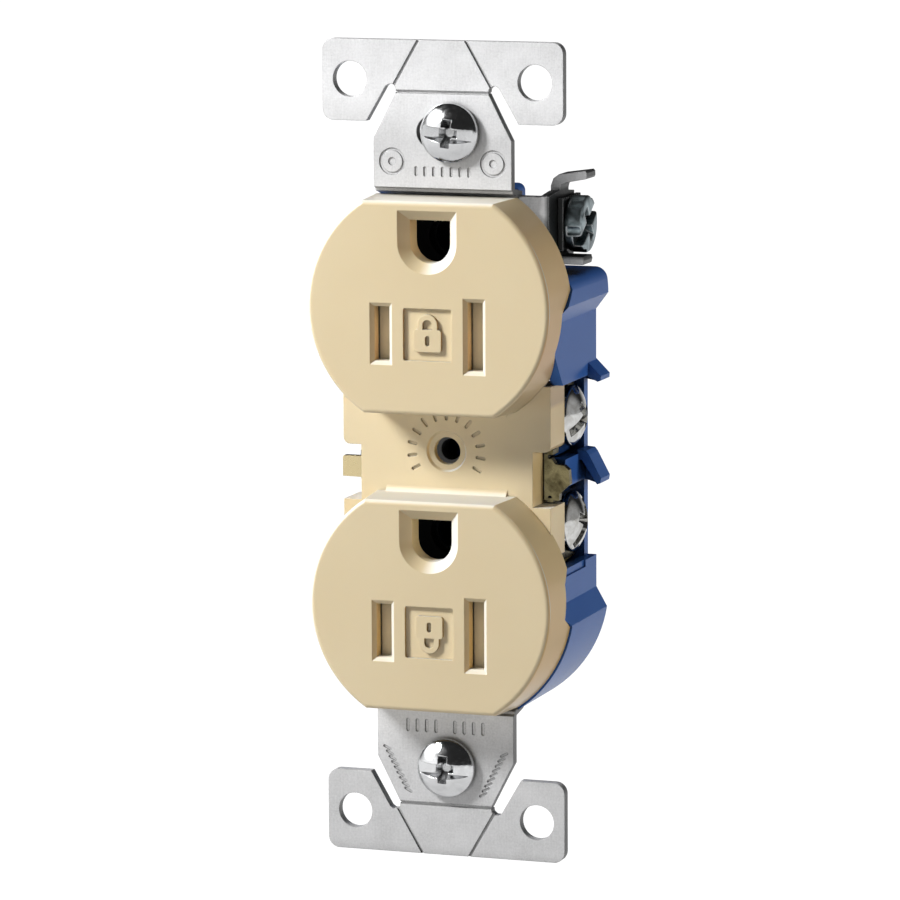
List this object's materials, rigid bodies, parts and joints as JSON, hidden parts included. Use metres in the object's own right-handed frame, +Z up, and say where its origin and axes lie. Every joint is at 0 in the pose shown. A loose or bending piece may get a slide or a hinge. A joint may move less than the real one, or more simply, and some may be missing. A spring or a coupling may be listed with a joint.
{
  "type": "duplex wall outlet",
  "caption": "Duplex wall outlet: ivory face with two grounded receptacles, blue back body with side screw terminals, and a steel strap with break-off ears.",
  "frame": {"origin": "axis of the wall-plate screw hole, in the front plane of the strap's flat ends", "axes": "+X to the right seen from the front, +Z up along the strap, the face looks along -Y and the wall box is on the +Y side"},
  "size_m": [0.0344, 0.0231, 0.107],
  "materials": {
    "ivory": "smooth moulded",
    "blue": "glossy moulded",
    "galvanised": "zinc plated",
    "brass": "bright",
    "brass_dark": "tarnished",
    "steel": "plain",
    "chrome": "bright nickel plate",
    "fibre": "pressed fibre",
    "brass_screw": "bright plate",
    "nickel": "bright nickel plate",
    "green_steel": "dark blue-green passivated",
    "shutter": "natural",
    "spring": "spring wire"
  },
  "bodies": {
    "housing": {"face_cover": "ivory", "rear_body": "blue", "mounting_strap": "galvanised", "hot_contact_strip": "brass", "neutral_contact_strip": "brass_dark", "ground_contact_upper": "brass", "ground_contact_lower": "brass", "ground_contact_rivets": "steel", "shutter_housing_upper": "shutter", "shutter_housing_lower": "shutter", "shutter_spring_upper": "spring", "shutter_spring_lower": "spring", "neutral_wire_spring_upper": "spring", "neutral_wire_spring_lower": "spring", "hot_wire_spring_upper": "spring", "hot_wire_spring_lower": "spring"},
    "upper_shutter": {"shutter_slider_upper": "shutter"},
    "lower_shutter": {"shutter_slider_lower": "shutter"},
    "hot_upper_binding": {"hot_terminal_screw_upper": "brass_screw"},
    "hot_lower_binding": {"hot_terminal_screw_lower": "brass_screw"},
    "neutral_upper_binding": {"neutral_terminal_screw_upper": "nickel"},
    "neutral_lower_binding": {"neutral_terminal_screw_lower": "nickel"},
    "ground_plate": {"ground_clamp": "galvanised"},
    "ground_binding": {"ground_screw": "green_steel"},
    "upper_retainer": {"screw_retainer_upper": "fibre"},
    "upper_box_screw": {"mounting_screw_upper": "chrome"},
    "lower_retainer": {"screw_retainer_lower": "fibre"},
    "lower_box_screw": {"mounting_screw_lower": "chrome"}
  },
  "joints": [
    {"name": "upper_shutter_slide", "type": "slide", "parent": "housing", "child": "upper_shutter", "axis": [1, 0, 0], "range_m": [0, 0.0026], "stiffness_N_per_m": 120, "springref_m": -0.003, "deforming": ["shutter_spring_upper"]},
    {"name": "lower_shutter_slide", "type": "slide", "parent": "housing", "child": "lower_shutter", "axis": [1, 0, 0], "range_m": [0, 0.0026], "stiffness_N_per_m": 120, "springref_m": -0.003, "deforming": ["shutter_spring_lower"]},
    {"name": "hot_upper_screw_travel", "type": "slide", "parent": "housing", "child": "hot_upper_binding", "axis": [-1, 0, 0], "range_m": [0, 0.003]},
    {"name": "hot_lower_screw_travel", "type": "slide", "parent": "housing", "child": "hot_lower_binding", "axis": [-1, 0, 0], "range_m": [0, 0.003]},
    {"name": "neutral_upper_screw_travel", "type": "slide", "parent": "housing", "child": "neutral_upper_binding", "axis": [1, 0, 0], "range_m": [0, 0.003]},
    {"name": "neutral_lower_screw_travel", "type": "slide", "parent": "housing", "child": "neutral_lower_binding", "axis": [1, 0, 0], "range_m": [0, 0.003]},
    {"name": "ground_clamp_travel", "type": "slide", "parent": "housing", "child": "ground_plate", "axis": [1, 0, 0], "range_m": [0, 0.00238]},
    {"name": "ground_screw_turn", "type": "hinge", "parent": "ground_plate", "child": "ground_binding", "pos_m": [0.0145, 0.01, 0.0293], "axis": [1, 0, 0], "range_deg": [0, 1080.5]},
    {"name": "upper_retainer_shift", "type": "slide", "parent": "housing", "child": "upper_retainer", "axis": [1, 0, 0], "range_m": [-0.0026, 0.0004]},
    {"name": "upper_box_screw_travel", "type": "slide", "parent": "upper_retainer", "child": "upper_box_screw", "axis": [0, -1, 0], "range_m": [0, 0.01]},
    {"name": "lower_retainer_shift", "type": "slide", "parent": "housing", "child": "lower_retainer", "axis": [1, 0, 0], "range_m": [-0.0018, 0.0012]},
    {"name": "lower_box_screw_travel", "type": "slide", "parent": "lower_retainer", "child": "lower_box_screw", "axis": [0, -1, 0], "range_m": [0, 0.01]}
  ],
  "couplings": [
    {"joint": "ground_screw_turn", "follows": "ground_clamp_travel", "rad_per_m": 7914}
  ]
}
